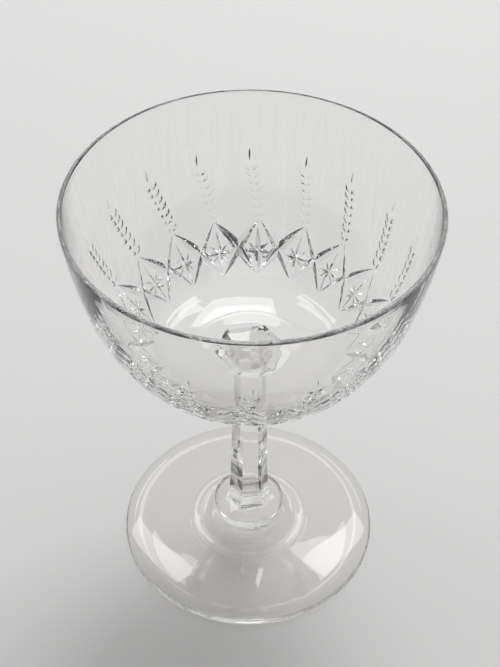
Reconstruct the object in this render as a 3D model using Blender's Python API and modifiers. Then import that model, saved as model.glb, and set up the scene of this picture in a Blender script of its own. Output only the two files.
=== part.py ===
"""A cut-crystal coupe glass: a bowl with a ring of cut diamonds, a six-sided stem, a wafer and a foot.

Metres, +Z up. The foot stands on z = 0 and the turning axis is the Z axis.
"""

import math

import bmesh
import bpy
import numpy as np
from mathutils import Vector

MM = 0.001

# The glued faces stand this far apart, so that no two solids share a face.
JOINT_GAP = 0.3 * MM
TURN_STEPS = 72

# Foot: (radius, height) round the section, from the neck over the top to the middle of the hollow.
FOOT_NECK_RADIUS = 9.0 * MM
FOOT_TOP = 10.6 * MM
FOOT_UPPER = (
    (FOOT_NECK_RADIUS, FOOT_TOP),
    (10.0 * MM, 9.3 * MM),
    (11.5 * MM, 8.0 * MM),
    (13.5 * MM, 6.9 * MM),
    (15.3 * MM, 6.2 * MM),
    (17.0 * MM, 5.8 * MM),
    (21.0 * MM, 5.3 * MM),
    (27.0 * MM, 4.4 * MM),
    (32.0 * MM, 3.5 * MM),
    (36.0 * MM, 2.5 * MM),
)
FOOT_EDGE = (
    (37.2 * MM, 1.95 * MM),
    (37.6 * MM, 1.15 * MM),
    (37.25 * MM, 0.4 * MM),
)
CONTACT_RING = ((36.4 * MM, 0.0), (33.4 * MM, 0.0))
FOOT_HOLLOW = (
    (32.0 * MM, 0.08 * MM),
    (30.0 * MM, 0.4 * MM),
    (27.0 * MM, 0.95 * MM),
    (21.0 * MM, 1.9 * MM),
    (17.2 * MM, 2.45 * MM),
    (17.0 * MM, 2.55 * MM),
    (14.8 * MM, 2.7 * MM),
    (14.6 * MM, 2.8 * MM),
    (10.0 * MM, 3.05 * MM),
)
HOLLOW_TOP = 3.22 * MM

# Wafer between foot and stem.
WAFER_RADIUS = 10.3 * MM
WAFER_BOTTOM = FOOT_TOP + JOINT_GAP
WAFER_TOP = 14.3 * MM
WAFER_SEAT_RADIUS = 7.0 * MM

# Stem: six flat sides, with a corner this far round from the X axis.
STEM_BOTTOM = WAFER_TOP + JOINT_GAP
STEM_TOP = 74.3 * MM
STEM_TURN = math.radians(10)
STEM_SECTIONS = (  # height above the bottom face, distance from the axis to a corner
    (0.0 * MM, 6.6 * MM),
    (1.0 * MM, 6.5 * MM),
    (4.0 * MM, 5.95 * MM),
    (6.8 * MM, 5.6 * MM),
    (31.5 * MM, 5.0 * MM),
    (46.5 * MM, 4.9 * MM),
    (51.0 * MM, 5.4 * MM),
    (55.0 * MM, 7.1 * MM),
    (58.1 * MM, 10.0 * MM),
    (59.7 * MM, 10.8 * MM),
)

# Bowl: (radius, height) down the outside, from the rim to the flat that the stem joins.
BOWL_OUTSIDE = (
    (47.45 * MM, 127.4 * MM),
    (47.1 * MM, 124.5 * MM),
    (46.2 * MM, 118.5 * MM),
    (44.9 * MM, 111.5 * MM),
    (43.2 * MM, 104.5 * MM),
    (40.9 * MM, 97.5 * MM),
    (38.0 * MM, 91.3 * MM),
    (35.4 * MM, 87.0 * MM),
    (32.6 * MM, 83.4 * MM),
    (28.6 * MM, 79.5 * MM),
    (24.5 * MM, 77.1 * MM),
    (20.0 * MM, 75.7 * MM),
    (15.5 * MM, 74.9 * MM),
    (11.5 * MM, STEM_TOP + JOINT_GAP),
)
# Bowl floor: (radius, height) on the inside, from the wall to the middle.
BOWL_FLOOR = (
    (24.0 * MM, 80.05 * MM),
    (20.0 * MM, 78.9 * MM),
    (15.0 * MM, 78.08 * MM),
    (10.0 * MM, 77.63 * MM),
    (5.0 * MM, 77.45 * MM),
    (0.0 * MM, 77.4 * MM),
)
RIM_THICKNESS = 1.3 * MM
BASE_THICKNESS = 3.5 * MM
RIM_ROUND = 0.6 * MM

# Cut pattern: DIAMONDS repeats round the bowl, the first turned PATTERN_TURN from the X axis.
DIAMONDS = 18
PATTERN_TURN = math.radians(6.7)
DIAMOND_TOP = 90.9 * MM
DIAMOND_MIDDLE = 83.3 * MM
DIAMOND_BOTTOM = 78.7 * MM
MITRE_DEPTH = 1.2 * MM
STAR_LONG = 6.6 * MM
STAR_SHORT = 3.5 * MM
STAR_DEPTH = 0.62 * MM
EAR_TOP = 110.4 * MM
EAR_LEAN = math.radians(4.3)
EAR_PAIRS = 7
GRAIN_LENGTH = 3.0 * MM
GRAIN_DEPTH = 0.3 * MM
GRAIN_SPREAD = 0.95 * MM
GRAIN_SLOPE = 2.7
TIP_DEPTH = 0.32 * MM
TIP_SLOPE = 0.8
GROOVE_SLOPE = 1.15
CUTTER_CLEARANCE = 0.35 * MM


def clear_scene():
    for obj in list(bpy.data.objects):
        bpy.data.objects.remove(obj, do_unlink=True)
    for collection in list(bpy.data.collections):
        bpy.data.collections.remove(collection)


def new_collection(name):
    collection = bpy.data.collections.new(name)
    bpy.context.scene.collection.children.link(collection)
    return collection


def glass(name, colour):
    material = bpy.data.materials.new(name)
    material.use_nodes = True
    shader = material.node_tree.nodes["Principled BSDF"]
    shader.inputs["Base Color"].default_value = colour
    shader.inputs["Roughness"].default_value = 0.03
    shader.inputs["Metallic"].default_value = 0.0
    shader.inputs["IOR"].default_value = 1.54
    shader.inputs["Transmission Weight"].default_value = 1.0
    return material


def add_object(name, mesh, collection, material=None):
    obj = bpy.data.objects.new(name, mesh)
    collection.objects.link(obj)
    if material:
        mesh.materials.append(material)
    return obj


def smoothed(points, per_span):
    """Points of a curve through the given ones, per_span to each gap."""
    ends = [2 * np.array(points[0]) - points[1], 2 * np.array(points[-1]) - points[-2]]
    knots = np.array([ends[0], *points, ends[1]])
    curve = []
    for before, start, end, after in zip(knots, knots[1:], knots[2:], knots[3:]):
        for step in range(per_span):
            t = step / per_span
            pull = (end - before) * t
            bend = (2 * before - 5 * start + 4 * end - after) * t**2
            twist = (3 * start - before - 3 * end + after) * t**3
            curve.append(start + (pull + bend + twist) / 2)
    curve.append(knots[-2])
    return np.array(curve)


def outward(curve):
    """Unit normals of a profile that runs downwards, away from the axis."""
    along = np.gradient(curve, axis=0)
    normals = np.stack([-along[:, 1], along[:, 0]], axis=1)
    return normals / np.linalg.norm(normals, axis=1)[:, None]


def turned(name, profile, collection, material):
    """A solid of revolution. The profile runs from the axis round the section and back to the axis."""
    mesh = bpy.data.meshes.new(name)
    edges = [(i, i + 1) for i in range(len(profile) - 1)]
    mesh.from_pydata([(radius, 0, height) for radius, height in profile], edges, [])
    obj = add_object(name, mesh, collection, material)
    screw = obj.modifiers.new("Turn", "SCREW")
    screw.steps = TURN_STEPS
    screw.render_steps = TURN_STEPS
    screw.use_merge_vertices = True
    screw.merge_threshold = 0.00001
    return obj


def bowl_profile(outside):
    """The closed section of the bowl: up the inside, over the round rim, down the outside."""
    along = np.linspace(0, 1, len(outside)) ** 1.15
    thickness = RIM_THICKNESS + (BASE_THICKNESS - RIM_THICKNESS) * along
    inside = outside - outward(outside) * thickness[:, None]
    inside = inside[inside[:, 0] > BOWL_FLOOR[0][0] + 1.5 * MM]
    rim_centre = (outside[0] + inside[0]) / 2
    across = (outside[0] - inside[0]) / 2
    over = [
        rim_centre + across * math.cos(angle) + np.array((0, RIM_ROUND * math.sin(angle)))
        for angle in np.radians((135, 90, 45))
    ]
    return [*BOWL_FLOOR[::-1], *inside[::-1], *over, *outside, (0, outside[-1][1])]


class BowlSurface:
    """Places points on the outside of the bowl by angle round the axis and height."""

    def __init__(self, outside):
        self.radii = outside[::-1, 0]
        self.heights = outside[::-1, 1]
        normals = outward(outside)[::-1]
        self.normal_radial = normals[:, 0]
        self.normal_up = normals[:, 1]
        steps = np.linalg.norm(np.diff(outside[::-1], axis=0), axis=1)
        self.lengths = np.concatenate([[0], np.cumsum(steps)])

    def length_at(self, height):
        """Distance along the section from its lower end to this height."""
        return float(np.interp(height, self.heights, self.lengths))

    def point(self, angle, length):
        """Where this place is, and which way the glass faces there."""
        radius = np.interp(length, self.lengths, self.radii)
        height = np.interp(length, self.lengths, self.heights)
        radial = np.interp(length, self.lengths, self.normal_radial)
        up = np.interp(length, self.lengths, self.normal_up)
        spot = Vector((radius * math.cos(angle), radius * math.sin(angle), height))
        facing = Vector((radial * math.cos(angle), radial * math.sin(angle), up))
        return spot, facing.normalized()

    def radius_at(self, length):
        return float(np.interp(length, self.lengths, self.radii))


def add_groove(bm, surface, start, end, depth, spans, slope):
    """A boat-shaped cutter that sinks a V groove, deepest in the middle, from start to end."""
    reach = math.sqrt((depth + CUTTER_CLEARANCE) / depth)
    stations = np.linspace(-reach, reach, spans + 1)
    centre = (np.array(start) + np.array(end)) / 2
    half = (np.array(end) - np.array(start)) / 2
    rings = []
    for station in stations:
        spot, facing = surface.point(*(centre + half * station))
        if station in (stations[0], stations[-1]):
            rings.append([bm.verts.new(spot + facing * CUTTER_CLEARANCE)])
            continue
        ahead, _ = surface.point(*(centre + half * (station + 0.01)))
        across = facing.cross(ahead - spot).normalized()
        sink = depth * (1 - station**2)
        width = slope * (sink + CUTTER_CLEARANCE)
        keel = bm.verts.new(spot - facing * sink)
        left = bm.verts.new(spot + facing * CUTTER_CLEARANCE + across * width)
        right = bm.verts.new(spot + facing * CUTTER_CLEARANCE - across * width)
        rings.append([keel, left, right])
    for near, far in zip(rings, rings[1:]):
        for side in range(3):
            loop = [near[side % len(near)], near[(side + 1) % len(near)]]
            loop += [far[(side + 1) % len(far)], far[side % len(far)]]
            bm.faces.new(list(dict.fromkeys(loop)))


def cut_grooves(bowl, name, grooves, surface, helpers, depth, spans, slope=GROOVE_SLOPE):
    """Cuts one family of grooves that don't cross each other."""
    bm = bmesh.new()
    for start, end in grooves:
        add_groove(bm, surface, start, end, depth, spans, slope)
    bmesh.ops.recalc_face_normals(bm, faces=bm.faces)
    mesh = bpy.data.meshes.new(name)
    bm.to_mesh(mesh)
    bm.free()
    cutter = add_object(name, mesh, helpers)
    cutter.hide_render = True
    cutter.display_type = "WIRE"
    cut = bowl.modifiers.new(name, "BOOLEAN")
    cut.operation = "DIFFERENCE"
    cut.solver = "EXACT"
    cut.object = cutter


def cut_diamonds(bowl, surface, helpers):
    """Two families of long mitre cuts cross to bound the diamonds, and a star fills each one."""
    pitch = 2 * math.pi / DIAMONDS
    angles = [PATTERN_TURN + pitch * place for place in range(DIAMONDS)]
    top = surface.length_at(DIAMOND_TOP)
    middle = surface.length_at(DIAMOND_MIDDLE)
    bottom = surface.length_at(DIAMOND_BOTTOM)
    for side, name in ((1, "mitre_left"), (-1, "mitre_right")):
        grooves = [((a, top), (a + side * pitch, bottom)) for a in angles]
        cut_grooves(bowl, name, grooves, surface, helpers, MITRE_DEPTH, 6)
    rays = (
        ("star_upright", 90, STAR_LONG, STAR_DEPTH * 1.2),
        ("star_level", 0, STAR_SHORT * 1.15, STAR_DEPTH),
        ("star_rising", 42, STAR_SHORT, STAR_DEPTH * 0.95),
        ("star_falling", 138, STAR_SHORT, STAR_DEPTH * 0.9),
    )
    radius = surface.radius_at(middle)
    for name, tilt, half, depth in rays:
        reach_round = half * math.cos(math.radians(tilt)) / radius
        reach_up = half * math.sin(math.radians(tilt))
        grooves = [
            ((a - reach_round, middle - reach_up), (a + reach_round, middle + reach_up))
            for a in angles
        ]
        cut_grooves(bowl, name, grooves, surface, helpers, depth, 2)


def cut_ears(bowl, surface, helpers):
    """Above each diamond, a leaning ear of grain: pairs of short slanting cuts and one at the tip.

    Neighbouring cuts touch, so every other one goes into a family of its own.
    """
    pitch = 2 * math.pi / DIAMONDS
    foot = surface.length_at(DIAMOND_TOP) + 0.9 * MM
    tip = surface.length_at(EAR_TOP)
    families = {"ear_left_odd": [], "ear_left_even": [], "ear_right_odd": [], "ear_right_even": []}
    tips = []
    for place in range(DIAMONDS):
        base = PATTERN_TURN + pitch * place
        for pair in range(EAR_PAIRS):
            step = (pair / EAR_PAIRS) ** 0.95
            length = foot + (tip - GRAIN_LENGTH * 1.5 - foot) * step
            angle = base + EAR_LEAN * step
            radius = surface.radius_at(length)
            for side, word in ((1, "left"), (-1, "right")):
                near = (angle + side * 0.3 * GRAIN_SPREAD / radius, length)
                far = (angle + side * 2.1 * GRAIN_SPREAD / radius, length + 0.72 * GRAIN_LENGTH)
                families[f"ear_{word}_{'even' if pair % 2 else 'odd'}"].append((near, far))
        top_angle = base + EAR_LEAN
        tips.append(((top_angle, tip - GRAIN_LENGTH * 1.25), (top_angle, tip)))
    for name, grooves in families.items():
        cut_grooves(bowl, name, grooves, surface, helpers, GRAIN_DEPTH, 2, GRAIN_SLOPE)
    cut_grooves(bowl, "ear_tip", tips, surface, helpers, TIP_DEPTH, 2, TIP_SLOPE)


def build_bowl(parts, helpers):
    outside = smoothed(BOWL_OUTSIDE, 1)
    profile = bowl_profile(outside)
    bowl = turned("bowl", profile, parts, glass("bowl_crystal", (0.97, 0.97, 0.965, 1)))
    surface = BowlSurface(smoothed(BOWL_OUTSIDE, 6))
    cut_diamonds(bowl, surface, helpers)
    cut_ears(bowl, surface, helpers)
    return bowl


def build_stem(parts):
    """Rings of six corners joined by flat sides, flaring at both ends."""
    mesh = bpy.data.meshes.new("stem")
    bm = bmesh.new()
    rings = []
    for height, radius in STEM_SECTIONS:
        corners = [STEM_TURN + math.radians(60 * side) for side in range(6)]
        rings.append(
            [bm.verts.new((radius * math.cos(c), radius * math.sin(c), height)) for c in corners]
        )
    for lower, upper in zip(rings, rings[1:]):
        for side in range(6):
            after = (side + 1) % 6
            bm.faces.new((lower[side], lower[after], upper[after], upper[side]))
    bm.faces.new(rings[0][::-1])
    bm.faces.new(rings[-1])
    bm.to_mesh(mesh)
    bm.free()
    mesh.shade_smooth()
    mesh.set_sharp_from_angle(angle=math.radians(25))
    stem = add_object("stem", mesh, parts, glass("stem_crystal", (0.97, 0.97, 0.96, 1)))
    stem.location.z = STEM_BOTTOM
    return stem


def build_wafer(parts):
    """A thin disc with a crisp edge, its top rising a little towards the stem."""
    edge = WAFER_RADIUS - 0.35 * MM
    profile = (
        (0, WAFER_TOP),
        (WAFER_SEAT_RADIUS, WAFER_TOP),
        (edge, 12.75 * MM),
        (WAFER_RADIUS, 12.35 * MM),
        (edge, 11.95 * MM),
        (FOOT_NECK_RADIUS, WAFER_BOTTOM),
        (0, WAFER_BOTTOM),
    )
    return turned("wafer", profile, parts, glass("wafer_crystal", (0.97, 0.97, 0.96, 1)))


def build_foot(parts):
    """A thin domed disc that stands on a flat ring, hollow underneath, with its middle ground out."""
    section = (*FOOT_UPPER, *FOOT_EDGE, *CONTACT_RING, *FOOT_HOLLOW)
    profile = ((0, FOOT_TOP), *section, (0, HOLLOW_TOP))
    return turned("foot", profile, parts, glass("foot_crystal", (0.965, 0.965, 0.955, 1)))


clear_scene()
glass_parts = new_collection("coupe_glass")
cutters = new_collection("cutters")
cutters.hide_render = True
build_foot(glass_parts)
build_wafer(glass_parts)
build_stem(glass_parts)
build_bowl(glass_parts, cutters)
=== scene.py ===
"""Looks of the cut-crystal coupe glass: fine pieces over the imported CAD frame, floor, light, camera."""

import math
import random

import bmesh
import bpy
import numpy as np
from mathutils import Euler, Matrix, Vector
from mathutils.kdtree import KDTree


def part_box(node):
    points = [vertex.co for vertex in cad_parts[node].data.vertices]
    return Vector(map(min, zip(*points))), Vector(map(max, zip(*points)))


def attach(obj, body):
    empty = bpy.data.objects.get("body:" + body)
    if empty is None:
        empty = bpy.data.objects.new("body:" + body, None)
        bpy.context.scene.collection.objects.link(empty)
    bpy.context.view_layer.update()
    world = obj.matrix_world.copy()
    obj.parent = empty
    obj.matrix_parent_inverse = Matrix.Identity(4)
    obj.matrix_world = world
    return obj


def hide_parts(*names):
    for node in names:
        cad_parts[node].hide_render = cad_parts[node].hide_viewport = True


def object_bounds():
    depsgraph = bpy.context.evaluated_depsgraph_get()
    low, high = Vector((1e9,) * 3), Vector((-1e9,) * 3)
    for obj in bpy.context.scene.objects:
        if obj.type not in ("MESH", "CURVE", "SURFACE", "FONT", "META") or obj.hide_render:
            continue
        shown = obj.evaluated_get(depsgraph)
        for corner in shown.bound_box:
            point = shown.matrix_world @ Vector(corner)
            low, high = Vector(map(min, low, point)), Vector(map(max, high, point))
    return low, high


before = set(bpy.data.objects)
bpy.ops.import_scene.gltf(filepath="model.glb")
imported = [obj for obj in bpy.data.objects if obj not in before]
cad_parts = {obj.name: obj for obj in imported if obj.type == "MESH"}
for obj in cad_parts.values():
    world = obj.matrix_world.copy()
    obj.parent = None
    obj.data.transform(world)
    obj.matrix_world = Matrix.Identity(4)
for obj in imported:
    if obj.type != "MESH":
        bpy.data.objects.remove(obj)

MM = 0.001
SEED = 7

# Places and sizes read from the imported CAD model.
CAD_LOW, CAD_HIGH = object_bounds()
FOOT_LOW, FOOT_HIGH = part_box("foot")
WAFER_LOW, WAFER_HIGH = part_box("wafer")
STEM_LOW, STEM_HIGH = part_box("stem")
BOWL_LOW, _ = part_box("bowl")
FOOT_RADIUS = (FOOT_HIGH[0] - FOOT_LOW[0]) / 2
WAFER_RADIUS = (WAFER_HIGH[0] - WAFER_LOW[0]) / 2

# Where the pieces are fused: the glass runs on through these heights.
FOOT_JOINT = (FOOT_HIGH[2] + WAFER_LOW[2]) / 2
WAFER_JOINT = (WAFER_HIGH[2] + STEM_LOW[2]) / 2
BOWL_JOINT = (STEM_HIGH[2] + BOWL_LOW[2]) / 2
JOINT_SKIN = 0.004 * MM
FOOT_NECK_RADIUS = 9.0 * MM
WAFER_SEAT_RADIUS = 6.9 * MM

# Points in each turned ring. A six-sided ring has as many as the round one that it joins.
BOWL_SIDES = 288
STEM_SIDES = 180
FOOT_SIDES = 240

# The stem's six corners.
STEM_TURN = math.radians(10)
STEM_FOOT_CORNER = 6.6 * MM
STEM_HEAD_CORNER = 10.8 * MM
# Stem sections, upwards: height above its lower end, and distance of a corner from the axis.
STEM_SECTIONS = (
    (0.0 * MM, STEM_FOOT_CORNER),
    (0.9 * MM, 6.55 * MM),
    (3.9 * MM, 5.95 * MM),
    (6.8 * MM, 5.6 * MM),
    (20.0 * MM, 5.25 * MM),
    (31.5 * MM, 5.0 * MM),
    (46.5 * MM, 4.9 * MM),
    (51.0 * MM, 5.4 * MM),
    (55.0 * MM, 7.1 * MM),
    (58.1 * MM, 10.0 * MM),
)

# Wafer edge, downwards: how far in from its radius, and height.
WAFER_EDGE = (
    (0.35 * MM, 12.75 * MM),
    (0.13 * MM, 12.66 * MM),
    (0.03 * MM, 12.5 * MM),
    (0.0 * MM, 12.35 * MM),
    (0.03 * MM, 12.2 * MM),
    (0.13 * MM, 12.04 * MM),
    (0.35 * MM, 11.95 * MM),
)

# Foot section: radius and height, down the top, round the edge, and in along the hollow underside.
FOOT_TOP = (
    (10.0 * MM, 9.3 * MM),
    (11.5 * MM, 8.0 * MM),
    (13.5 * MM, 6.9 * MM),
    (15.3 * MM, 6.2 * MM),
    (17.0 * MM, 5.8 * MM),
    (21.0 * MM, 5.3 * MM),
    (27.0 * MM, 4.4 * MM),
    (32.0 * MM, 3.5 * MM),
    (36.0 * MM, 2.5 * MM),
    (37.2 * MM, 1.95 * MM),
    (FOOT_RADIUS, 1.15 * MM),
    (37.25 * MM, 0.4 * MM),
    (36.4 * MM, FOOT_LOW[2]),
)
FOOT_UNDER = (
    (33.4 * MM, FOOT_LOW[2]),
    (32.0 * MM, 0.08 * MM),
    (30.0 * MM, 0.4 * MM),
    (27.0 * MM, 0.95 * MM),
    (21.0 * MM, 1.9 * MM),
    (17.2 * MM, 2.45 * MM),
)
FOOT_SHOULDER = ((17.0 * MM, 2.55 * MM), (14.8 * MM, 2.7 * MM))
FOOT_HOLLOW = ((14.6 * MM, 2.8 * MM), (10.0 * MM, 3.05 * MM), (3.0 * MM, 3.2 * MM))
HOLLOW_TOP = 3.22 * MM

# Bowl section, down the outside: radius, and height above the bowl's lowest point.
BOWL_OUTSIDE = (
    (47.45 * MM, 52.8 * MM),
    (47.1 * MM, 49.9 * MM),
    (46.2 * MM, 43.9 * MM),
    (44.9 * MM, 36.9 * MM),
    (43.2 * MM, 29.9 * MM),
    (40.9 * MM, 22.9 * MM),
    (38.0 * MM, 16.7 * MM),
    (35.4 * MM, 12.4 * MM),
    (32.6 * MM, 8.8 * MM),
    (28.6 * MM, 4.9 * MM),
    (24.5 * MM, 2.5 * MM),
    (20.0 * MM, 1.1 * MM),
    (15.5 * MM, 0.3 * MM),
    (11.5 * MM, 0.0 * MM),
)
# Bowl floor, inside: radius, and height above the bowl's lowest point.
BOWL_FLOOR = (
    (24.0 * MM, 5.45 * MM),
    (20.0 * MM, 4.3 * MM),
    (15.0 * MM, 3.48 * MM),
    (10.0 * MM, 3.03 * MM),
    (5.0 * MM, 2.85 * MM),
)
FLOOR_MIDDLE = 2.8 * MM
RIM_THICKNESS = 1.3 * MM
BASE_THICKNESS = 3.5 * MM
THICKENING = 1.15
RIM_CROWN = 0.62 * MM
WALL_FLOOR_GAP = 1.5 * MM

# Cut pattern.
DIAMONDS = 18
PATTERN_TURN = math.radians(6.7)
DIAMOND_TOP = 16.3 * MM
DIAMOND_MIDDLE = 8.7 * MM
DIAMOND_BOTTOM = 4.1 * MM
MITRE_DEPTH = 1.2 * MM
STAR_LONG = 6.6 * MM
STAR_SHORT = 3.5 * MM
STAR_DEPTH = 0.62 * MM
EAR_TOP = 35.8 * MM
EAR_LEAN = math.radians(4.3)
EAR_PAIRS = 7
GRAIN_LENGTH = 3.0 * MM
GRAIN_DEPTH = 0.3 * MM
GRAIN_SPREAD = 0.95 * MM
GROOVE_SLOPE = 1.15
GRAIN_SLOPE = 2.7
TIP_DEPTH = 0.32 * MM
TIP_SLOPE = 0.8
CUTTER_CLEARANCE = 0.3 * MM
MITRE_END_GAP = 0.006
GRAIN_INNER = 0.3 * GRAIN_SPREAD
GRAIN_OUTER = 2.1 * GRAIN_SPREAD
GRAIN_RISE = 0.72 * GRAIN_LENGTH
GRAIN_CROWDING = 0.95
EAR_START = 0.9 * MM
TIP_ROOM = 1.5 * GRAIN_LENGTH
TIP_LENGTH = 1.25 * GRAIN_LENGTH
MITRE_SPANS = 12
STAR_SPANS = 8
GRAIN_SPANS = 5
# How far the hand cutting strays, in radians, in lengths, and as a share of a depth or a reach.
PLACE_STRAY = 0.006
MITRE_END_STRAY = 0.25 * MM
MITRE_DEPTH_STRAY = 0.08
STAR_LEAN_STRAY = 0.05
STAR_REACH_STRAY = 0.07
EAR_TOP_STRAY = 0.6 * MM
EAR_LEAN_STRAY = 0.012
GRAIN_PLACE_STRAY = 0.12 * MM
GRAIN_REACH_STRAY = 0.08
GRAIN_DEPTH_STRAY = 0.12
# The four rays of a star: tilt in degrees, half its length, and how deep it is against the others.
STAR_RAYS = (
    (90, STAR_LONG, 1.2),
    (0, 1.15 * STAR_SHORT, 1.0),
    (43, STAR_SHORT, 0.96),
    (137, STAR_SHORT, 0.92),
)
# A face of the cut bowl is uncut wall if it lies this near to the section, and faces much the same way.
WALL_NEARNESS = 0.08 * MM
WALL_LIKENESS = math.cos(math.radians(9))

# Each glass: its light and dark tint, wave height, haze, and how much light a face lets through.
GLASS_LOOKS = {
    "bowl": ((0.99, 0.99, 0.985), (0.975, 0.972, 0.965), 0.012 * MM, 0.03, 0.58),
    "stem": ((0.985, 0.985, 0.98), (0.97, 0.965, 0.955), 0.01 * MM, 0.02, 0.6),
    "wafer": ((0.985, 0.985, 0.98), (0.97, 0.965, 0.955), 0.01 * MM, 0.02, 0.85),
    "foot": ((0.985, 0.985, 0.98), (0.97, 0.967, 0.96), 0.02 * MM, 0.04, 0.96),
}
GLASS_IOR = 1.54
JOINT_LETS_THROUGH = 0.99
# Light that has passed through the glass is a trace warmer.
WARM_SHADE = (1.0, 0.994, 0.988)

FLOOR_SIZE = 6
FLOOR_COLOUR = (0.8, 0.795, 0.79)
# The brightest way in the room: above and behind the glass, a little to the right.
GLOW_WAY = (0.12, 0.48, 0.87)

# Where the camera is, how many degrees it looks down and leans, and its focal length in millimetres.
CAMERA_PLACE = (-0.18 * MM, -255.8 * MM, 343.7 * MM)
CAMERA_DOWN = 45.557
CAMERA_ROLL = 0.7
CAMERA_LENS = 74.1

chance = random.Random(SEED)


# ---- materials ----


def add_node(tree, kind, **inputs):
    node = tree.nodes.new(kind)
    for name, value in inputs.items():
        node.inputs[name.replace("_", " ")].default_value = value
    return node


def crystal(name, light_tint, dark_tint, waviness, haze, let_through):
    """Clear lead crystal: slight streaks of tint, faint surface waves, and a trace of haze."""
    material = bpy.data.materials.new(name)
    material.use_nodes = True
    tree = material.node_tree
    shader = tree.nodes["Principled BSDF"]
    shader.inputs["IOR"].default_value = GLASS_IOR
    shader.inputs["Transmission Weight"].default_value = 1.0
    place = tree.nodes.new("ShaderNodeTexCoord")
    streaks = add_node(tree, "ShaderNodeTexNoise", Scale=90.0, Detail=3.0)
    tint = tree.nodes.new("ShaderNodeMix")
    tint.data_type = "RGBA"
    tint.inputs[6].default_value = (*light_tint, 1)
    tint.inputs[7].default_value = (*dark_tint, 1)
    smudges = add_node(tree, "ShaderNodeTexNoise", Scale=260.0, Detail=4.0, Roughness=0.65)
    haze_range = add_node(tree, "ShaderNodeMapRange", From_Min=0.45, From_Max=0.75, To_Max=haze)
    waves = add_node(tree, "ShaderNodeTexNoise", Scale=70.0, Detail=1.0)
    bump = add_node(tree, "ShaderNodeBump", Strength=1.0, Distance=waviness)
    link = tree.links.new
    for texture in (streaks, smudges, waves):
        link(place.outputs["Object"], texture.inputs["Vector"])
    link(streaks.outputs["Fac"], tint.inputs[0])
    link(tint.outputs[2], shader.inputs["Base Color"])
    link(smudges.outputs["Fac"], haze_range.inputs["Value"])
    link(haze_range.outputs["Result"], shader.inputs["Roughness"])
    link(waves.outputs["Fac"], bump.inputs["Height"])
    link(bump.outputs["Normal"], shader.inputs["Normal"])
    add_shadow_side(tree, shader, let_through)
    return material


def add_shadow_side(tree, shader, let_through):
    """Lets lamps and the floor's own light through to what the glass shades, as clear glass does."""
    rays = tree.nodes.new("ShaderNodeLightPath")
    shade = [let_through * part for part in WARM_SHADE]
    clear = add_node(tree, "ShaderNodeBsdfTransparent", Color=(*shade, 1))
    link = tree.links.new
    seen = shader
    for kind in ("Is Diffuse Ray", "Is Shadow Ray"):
        mix = tree.nodes.new("ShaderNodeMixShader")
        link(rays.outputs[kind], mix.inputs[0])
        link(seen.outputs[0], mix.inputs[1])
        link(clear.outputs[0], mix.inputs[2])
        seen = mix
    link(seen.outputs[0], tree.nodes["Material Output"].inputs["Surface"])


def fused_joint():
    """The face inside a joint, where the glass runs on with no surface to see."""
    material = bpy.data.materials.new("fused_joint")
    material.use_nodes = True
    shader = material.node_tree.nodes["Principled BSDF"]
    shader.inputs["Base Color"].default_value = (1, 1, 1, 1)
    shader.inputs["Roughness"].default_value = 0.0
    shader.inputs["IOR"].default_value = 1.0
    shader.inputs["Transmission Weight"].default_value = 1.0
    add_shadow_side(material.node_tree, shader, JOINT_LETS_THROUGH)
    return material


# ---- shapes ----


def smoothed(points, per_span):
    """Points of a curve through the given ones, per_span to each gap."""
    points = np.array(points)
    knots = [2 * points[0] - points[1], *points, 2 * points[-1] - points[-2]]
    curve = []
    for before, start, end, after in zip(knots, knots[1:], knots[2:], knots[3:]):
        for step in range(per_span):
            t = step / per_span
            pull = (end - before) * t
            bend = (2 * before - 5 * start + 4 * end - after) * t**2
            twist = (3 * start - before - 3 * end + after) * t**3
            curve.append(start + (pull + bend + twist) / 2)
    curve.append(knots[-2])
    return np.array(curve)


def outward(curve):
    """Unit normals of a profile that runs downwards, away from the axis."""
    along = np.gradient(curve, axis=0)
    normals = np.stack([-along[:, 1], along[:, 0]], axis=1)
    return normals / np.linalg.norm(normals, axis=1)[:, None]


def ring(bm, radius, height, sides):
    turns = np.arange(sides) * 2 * math.pi / sides
    return [bm.verts.new((radius * math.cos(a), radius * math.sin(a), height)) for a in turns]


def hexagon_ring(bm, corner, height, sides):
    """As many points as a round ring, but along the stem's six straight sides."""
    points = []
    for a in np.arange(sides) * 2 * math.pi / sides:
        off_middle = (a - STEM_TURN) % math.radians(60) - math.radians(30)
        reach = corner * math.cos(math.radians(30)) / math.cos(off_middle)
        points.append(bm.verts.new((reach * math.cos(a), reach * math.sin(a), height)))
    return points


def skin(bm, upper, lower):
    """Quads between two rings, facing out where the first is the upper one."""
    count = len(upper)
    for i in range(count):
        bm.faces.new((upper[i], lower[i], lower[(i + 1) % count], upper[(i + 1) % count]))


def turned(bm, section, sides):
    """Rings along a section that runs down the outside; returns the first and the last ring."""
    rings = [ring(bm, radius, height, sides) for radius, height in section]
    for upper, lower in zip(rings, rings[1:]):
        skin(bm, upper, lower)
    return rings[0], rings[-1]


def close_with_pole(bm, last, height, downwards):
    """Closes a ring with a fan to a point on the axis."""
    pole = bm.verts.new((0, 0, height))
    count = len(last)
    for i in range(count):
        corners = [last[i], last[(i + 1) % count], pole]
        bm.faces.new(corners[::-1] if downwards else corners)


def finished(bm, name, materials, sharp_degrees):
    bmesh.ops.recalc_face_normals(bm, faces=bm.faces)
    mesh = bpy.data.meshes.new(name)
    bm.to_mesh(mesh)
    bm.free()
    for material in materials:
        mesh.materials.append(material)
    mesh.shade_smooth()
    mesh.set_sharp_from_angle(angle=math.radians(sharp_degrees))
    obj = bpy.data.objects.new(name, mesh)
    bpy.context.scene.collection.objects.link(obj)
    return obj


def declare(obj, node):
    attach(obj, "root")
    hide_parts(node)


# ---- bowl ----


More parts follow.
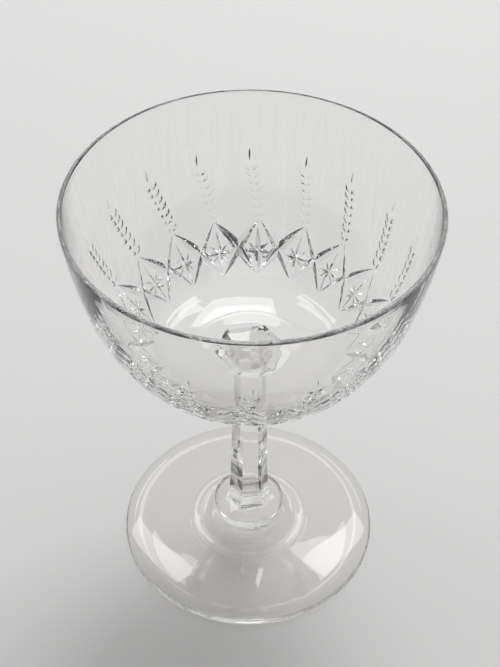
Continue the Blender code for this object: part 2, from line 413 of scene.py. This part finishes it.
class BowlSurface:
    """Places points on the outside of the bowl by angle round the axis and distance up its section."""

    def __init__(self, outside):
        rising = outside[::-1]
        normals = outward(outside)[::-1]
        steps = np.linalg.norm(np.diff(rising, axis=0), axis=1)
        self.lengths = np.concatenate([[0], np.cumsum(steps)])
        self.columns = [rising[:, 0], rising[:, 1], normals[:, 0], normals[:, 1]]

    def length_at(self, height):
        return float(np.interp(height, self.columns[1], self.lengths))

    def radius_at(self, length):
        return float(np.interp(length, self.lengths, self.columns[0]))

    def point(self, angle, length):
        """Where this place is, and which way the glass faces there."""
        radius, height, radial, up = (np.interp(length, self.lengths, c) for c in self.columns)
        spot = Vector((radius * math.cos(angle), radius * math.sin(angle), height))
        facing = Vector((radial * math.cos(angle), radial * math.sin(angle), up))
        return spot, facing.normalized()


def add_groove(bm, surface, start, end, depth, spans, slope):
    """A boat-shaped cutter that sinks a V groove, deepest in the middle, from start to end."""
    reach = math.sqrt((depth + CUTTER_CLEARANCE) / depth)
    stations = np.linspace(-reach, reach, spans + 1)
    centre = (np.array(start) + np.array(end)) / 2
    half = (np.array(end) - np.array(start)) / 2
    rings = []
    for station in stations:
        spot, facing = surface.point(*(centre + half * station))
        if station in (stations[0], stations[-1]):
            rings.append([bm.verts.new(spot + facing * CUTTER_CLEARANCE)])
            continue
        ahead, _ = surface.point(*(centre + half * (station + 0.01)))
        across = facing.cross(ahead - spot).normalized()
        sink = depth * (1 - station**2)
        width = slope * (sink + CUTTER_CLEARANCE)
        keel = bm.verts.new(spot - facing * sink)
        left = bm.verts.new(spot + facing * CUTTER_CLEARANCE + across * width)
        right = bm.verts.new(spot + facing * CUTTER_CLEARANCE - across * width)
        rings.append([keel, left, right])
    for near, far in zip(rings, rings[1:]):
        for side in range(3):
            loop = [near[side % len(near)], near[(side + 1) % len(near)]]
            loop += [far[(side + 1) % len(far)], far[side % len(far)]]
            bm.faces.new(list(dict.fromkeys(loop)))


def jitter(spread):
    return chance.uniform(-spread, spread)


def groove_families(surface):
    """Lists of grooves (start, end, depth, spans, slope). Those in one list don't cross each other."""
    pitch = 2 * math.pi / DIAMONDS
    top = surface.length_at(DIAMOND_TOP)
    middle = surface.length_at(DIAMOND_MIDDLE)
    bottom = surface.length_at(DIAMOND_BOTTOM)
    radius = surface.radius_at(middle)
    angles = [PATTERN_TURN + pitch * place + jitter(PLACE_STRAY) for place in range(DIAMONDS)]
    families = []
    for side in (1, -1):
        mitres = []
        for place, angle in enumerate(angles):
            other = angles[(place + side) % DIAMONDS]
            across = (other - angle + math.pi) % (2 * math.pi) - math.pi
            depth = MITRE_DEPTH * (1 + jitter(MITRE_DEPTH_STRAY))
            start = (angle + side * MITRE_END_GAP, top + jitter(MITRE_END_STRAY))
            end = (angle + across - side * MITRE_END_GAP, bottom + jitter(MITRE_END_STRAY))
            mitres.append((start, end, depth, MITRE_SPANS, GROOVE_SLOPE))
        families.append(mitres)
    for tilt, half, deepness in STAR_RAYS:
        rays = []
        for angle in angles:
            lean = math.radians(tilt) + jitter(STAR_LEAN_STRAY)
            reach = half * (1 + jitter(STAR_REACH_STRAY))
            round_by = reach * math.cos(lean) / radius
            up_by = reach * math.sin(lean)
            start = (angle - round_by, middle - up_by)
            end = (angle + round_by, middle + up_by)
            rays.append((start, end, STAR_DEPTH * deepness, STAR_SPANS, GROOVE_SLOPE))
        families.append(rays)
    ears, tips = ear_grains(surface, angles, top + EAR_START)
    # The tips lie far above the upright rays of the stars, so they are cut with them.
    families[2] += tips
    return families + ears


def ear_grains(surface, angles, foot):
    """A leaning ear above each diamond: pairs of slanting grains, in four families, and an upright tip."""
    families, tips = [[], [], [], []], []
    for base in angles:
        tip = surface.length_at(EAR_TOP + jitter(EAR_TOP_STRAY))
        lean = EAR_LEAN + jitter(EAR_LEAN_STRAY)
        for pair in range(EAR_PAIRS):
            step = (pair / EAR_PAIRS) ** GRAIN_CROWDING
            for side in (1, -1):
                length = foot + (tip - TIP_ROOM - foot) * step + jitter(GRAIN_PLACE_STRAY)
                angle = base + lean * step
                radius = surface.radius_at(length)
                near = (angle + side * GRAIN_INNER / radius, length)
                far_angle = angle + side * GRAIN_OUTER * (1 + jitter(GRAIN_REACH_STRAY)) / radius
                far = (far_angle, length + GRAIN_RISE)
                depth = GRAIN_DEPTH * (1 + jitter(GRAIN_DEPTH_STRAY))
                grain = (near, far, depth, GRAIN_SPANS, GRAIN_SLOPE)
                families[(side > 0) * 2 + pair % 2].append(grain)
        bottom_of_tip = (base + lean, tip - TIP_LENGTH)
        tips.append((bottom_of_tip, (base + lean, tip), TIP_DEPTH, GRAIN_SPANS, TIP_SLOPE))
    return families, tips


def set_wall_normals(mesh, section):
    """Gives the uncut wall the exact slope of its section, and each cut its own flat facets."""
    fine = smoothed(section, 6)
    slopes = outward(fine)
    tree = KDTree(len(fine))
    for number, (radius, height) in enumerate(fine):
        tree.insert((radius, height, 0), number)
    tree.balance()

    def slope_near(spot):
        _, number, away = tree.find((math.hypot(spot.x, spot.y), spot.z, 0))
        turn = math.atan2(spot.y, spot.x)
        radial, up = slopes[number]
        return Vector((radial * math.cos(turn), radial * math.sin(turn), up)), away

    at_corners = [slope_near(vertex.co)[0] for vertex in mesh.vertices]
    normals = np.empty((len(mesh.loops), 3))
    for face in mesh.polygons:
        slope, away = slope_near(face.center)
        wall = away < WALL_NEARNESS and slope.dot(face.normal) > WALL_LIKENESS
        for loop in face.loop_indices:
            normals[loop] = at_corners[mesh.loops[loop].vertex_index] if wall else face.normal
    mesh.normals_split_custom_set(normals)


def make_bowl(material, joint):
    """A turned bowl with the pattern cut into its outside, closed below by a six-sided seat for the stem."""
    outside = smoothed(BOWL_OUTSIDE, 7)
    along = np.linspace(0, 1, len(outside)) ** THICKENING
    thickness = RIM_THICKNESS + (BASE_THICKNESS - RIM_THICKNESS) * along
    inside = (outside - outward(outside) * thickness[:, None])[::2]
    floor = smoothed(BOWL_FLOOR, 4)
    inside = np.array([*inside[inside[:, 0] > floor[0][0] + WALL_FLOOR_GAP], *floor])
    rim_middle = (outside[0] + inside[0]) / 2
    rim_half = (outside[0] - inside[0]) / 2
    over = [
        rim_middle + rim_half * math.cos(turn) + np.array((0, RIM_CROWN * math.sin(turn)))
        for turn in np.radians(np.arange(162, 17, -18))
    ]
    bm = bmesh.new()
    section = [*inside[::-1], *over, *outside]
    first, last = turned(bm, section, BOWL_SIDES)
    close_with_pole(bm, first, FLOOR_MIDDLE, False)
    seat = hexagon_ring(bm, STEM_HEAD_CORNER, outside[-1][1], BOWL_SIDES)
    skin(bm, last, seat)
    bm.faces.new(seat[::-1])
    bm.faces.ensure_lookup_table()
    bm.faces[-1].material_index = 1
    bowl = finished(bm, "bowl_glass", [material, joint], sharp_degrees=22)
    surface = BowlSurface(outside)
    cutters = []
    for number, family in enumerate(groove_families(surface)):
        cutter_bm = bmesh.new()
        for groove in family:
            add_groove(cutter_bm, surface, *groove)
        cutter = finished(cutter_bm, f"cutter_{number}", [material], sharp_degrees=22)
        cutters.append(cutter)
        cut = bowl.modifiers.new(cutter.name, "BOOLEAN")
        cut.operation = "DIFFERENCE"
        cut.solver = "EXACT"
        cut.object = cutter
    graph = bpy.context.evaluated_depsgraph_get()
    mesh = bpy.data.meshes.new_from_object(bowl.evaluated_get(graph))
    bowl.modifiers.clear()
    bowl.data = mesh
    for cutter in cutters:
        bpy.data.objects.remove(cutter)
    mesh.shade_smooth()
    set_wall_normals(mesh, np.array([(0, FLOOR_MIDDLE), *section]))
    bowl.location.z = BOWL_JOINT + JOINT_SKIN
    declare(bowl, "bowl")


# ---- stem, wafer, foot ----


def make_stem(material, joint):
    """Six flat sides, with two cut bands flaring out to the wafer and two to the bowl."""
    sections = (*STEM_SECTIONS, (BOWL_JOINT - WAFER_JOINT, STEM_HEAD_CORNER))
    bm = bmesh.new()
    rings = [hexagon_ring(bm, corner, height, STEM_SIDES) for height, corner in sections]
    for lower, upper in zip(rings, rings[1:]):
        skin(bm, upper, lower)
    bm.faces.new(rings[0][::-1])
    bm.faces.new(rings[-1])
    bm.faces.ensure_lookup_table()
    bm.faces[-1].material_index = 1
    bm.faces[-2].material_index = 1
    stem = finished(bm, "stem_glass", [material, joint], sharp_degrees=8)
    stem.location.z = WAFER_JOINT
    declare(stem, "stem")


def make_wafer(material, joint):
    """A thin round disc with a six-sided seat on top for the stem."""
    edge = [(WAFER_RADIUS - inset, height) for inset, height in WAFER_EDGE]
    top = (WAFER_SEAT_RADIUS, WAFER_JOINT - 0.1 * MM)
    bm = bmesh.new()
    first, last = turned(bm, [top, *edge, (FOOT_NECK_RADIUS, FOOT_JOINT)], STEM_SIDES)
    seat = hexagon_ring(bm, STEM_FOOT_CORNER, WAFER_JOINT - JOINT_SKIN, STEM_SIDES)
    skin(bm, seat, first)
    bm.faces.new(seat)
    bm.faces.new(last[::-1])
    bm.faces.ensure_lookup_table()
    bm.faces[-1].material_index = 1
    bm.faces[-2].material_index = 1
    wafer = finished(bm, "wafer_glass", [material, joint], sharp_degrees=30)
    declare(wafer, "wafer")


def make_foot(material, joint):
    """A thin domed disc on a flat ring, hollow underneath."""
    top = smoothed([(FOOT_NECK_RADIUS, FOOT_JOINT - JOINT_SKIN), *FOOT_TOP], 6)
    under = smoothed(FOOT_UNDER, 5)
    shoulder = smoothed(FOOT_SHOULDER, 3)
    hollow = smoothed(FOOT_HOLLOW, 4)
    bm = bmesh.new()
    first, last = turned(bm, [*top, *under, *shoulder, *hollow], FOOT_SIDES)
    close_with_pole(bm, last, HOLLOW_TOP, True)
    bm.faces.new(first)
    bm.faces.ensure_lookup_table()
    bm.faces[-1].material_index = 1
    foot = finished(bm, "foot_glass", [material, joint], sharp_degrees=30)
    declare(foot, "foot")


# ---- surroundings ----


def make_floor():
    bpy.ops.mesh.primitive_plane_add(size=FLOOR_SIZE, location=(0, 0, CAD_LOW[2] - 0.02 * MM))
    floor = bpy.context.object
    floor.name = "floor"
    material = bpy.data.materials.new("pale_floor")
    material.use_nodes = True
    shader = material.node_tree.nodes["Principled BSDF"]
    shader.inputs["Base Color"].default_value = (*FLOOR_COLOUR, 1)
    shader.inputs["Roughness"].default_value = 0.75
    shader.inputs["Specular IOR Level"].default_value = 0.1
    floor.data.materials.append(material)


def add_panel(name, way_to, size, power, distance=1.4, mirrored=True, shining=True):
    """A soft rectangular light that faces the glass. Its way_to is azimuth (0 is behind the glass, and
    right is positive) and elevation. The glass shows it if mirrored; it lights the floor if shining."""
    light = bpy.data.lights.new(name, "AREA")
    light.shape = "RECTANGLE"
    light.size, light.size_y = size
    light.energy = power
    panel = bpy.data.objects.new(name, light)
    a, e = np.radians(way_to)
    way = Vector((math.sin(a) * math.cos(e), math.cos(a) * math.cos(e), math.sin(e)))
    panel.location = way * distance
    panel.rotation_euler = way.to_track_quat("Z", "Y").to_euler()
    panel.visible_camera = False
    panel.visible_glossy = mirrored
    panel.visible_transmission = mirrored
    panel.visible_diffuse = shining
    bpy.context.scene.collection.objects.link(panel)


def make_light():
    add_panel("key", (17, 57), (0.7, 0.7), 17.0, distance=2.0, mirrored=False)
    add_panel("window_middle", (5, 58), (0.30, 0.36), 1.1)
    add_panel("window_left", (-43, 55), (0.20, 0.60), 1.25)
    add_panel("window_right", (40, 53), (0.20, 0.56), 1.3)
    add_panel("ceiling", (180, 68), (1.3, 0.8), 2.0, shining=False)
    world = bpy.data.worlds.new("room")
    world.use_nodes = True
    tree = world.node_tree
    place = tree.nodes.new("ShaderNodeTexCoord")
    nearness = tree.nodes.new("ShaderNodeVectorMath")
    nearness.operation = "DOT_PRODUCT"
    nearness.inputs[1].default_value = Vector(GLOW_WAY).normalized()
    rise = add_node(tree, "ShaderNodeMapRange", From_Min=0.6, From_Max=1.0, To_Min=0.06, To_Max=0.64)
    rise.interpolation_type = "SMOOTHSTEP"
    # The side of the room behind the glass is paler than the side that the camera is on.
    parts = tree.nodes.new("ShaderNodeSeparateXYZ")
    wall = add_node(tree, "ShaderNodeMapRange", From_Min=-0.45, From_Max=0.15, To_Min=0.0, To_Max=0.2)
    wall.interpolation_type = "SMOOTHSTEP"
    both = tree.nodes.new("ShaderNodeMath")
    link = tree.links.new
    link(place.outputs["Generated"], nearness.inputs[0])
    link(nearness.outputs["Value"], rise.inputs["Value"])
    link(place.outputs["Generated"], parts.inputs[0])
    link(parts.outputs["Y"], wall.inputs["Value"])
    link(rise.outputs["Result"], both.inputs[0])
    link(wall.outputs["Result"], both.inputs[1])
    link(both.outputs[0], tree.nodes["Background"].inputs["Color"])
    bpy.context.scene.world = world


def make_camera():
    camera = bpy.data.cameras.new("camera")
    camera.sensor_width = 36
    camera.lens = CAMERA_LENS
    camera.clip_start = 0.01
    obj = bpy.data.objects.new("camera", camera)
    obj.location = CAMERA_PLACE
    tilt = Euler((math.radians(90 - CAMERA_DOWN), 0, 0)).to_matrix()
    roll = Euler((0, 0, math.radians(CAMERA_ROLL))).to_matrix()
    obj.rotation_euler = (tilt @ roll).to_euler()
    bpy.context.scene.collection.objects.link(obj)
    bpy.context.scene.camera = obj


def set_glass_tracing():
    scene = bpy.context.scene
    scene.view_settings.view_transform = "Standard"
    scene.cycles.max_bounces = 32
    scene.cycles.transmission_bounces = 32
    scene.cycles.glossy_bounces = 16
    scene.cycles.transparent_max_bounces = 32
    scene.cycles.caustics_refractive = False
    scene.cycles.caustics_reflective = False


joint = fused_joint()
for node, make in (("bowl", make_bowl), ("stem", make_stem), ("wafer", make_wafer), ("foot", make_foot)):
    make(crystal(f"{node}_crystal", *GLASS_LOOKS[node]), joint)
make_floor()
make_light()
make_camera()
set_glass_tracing()
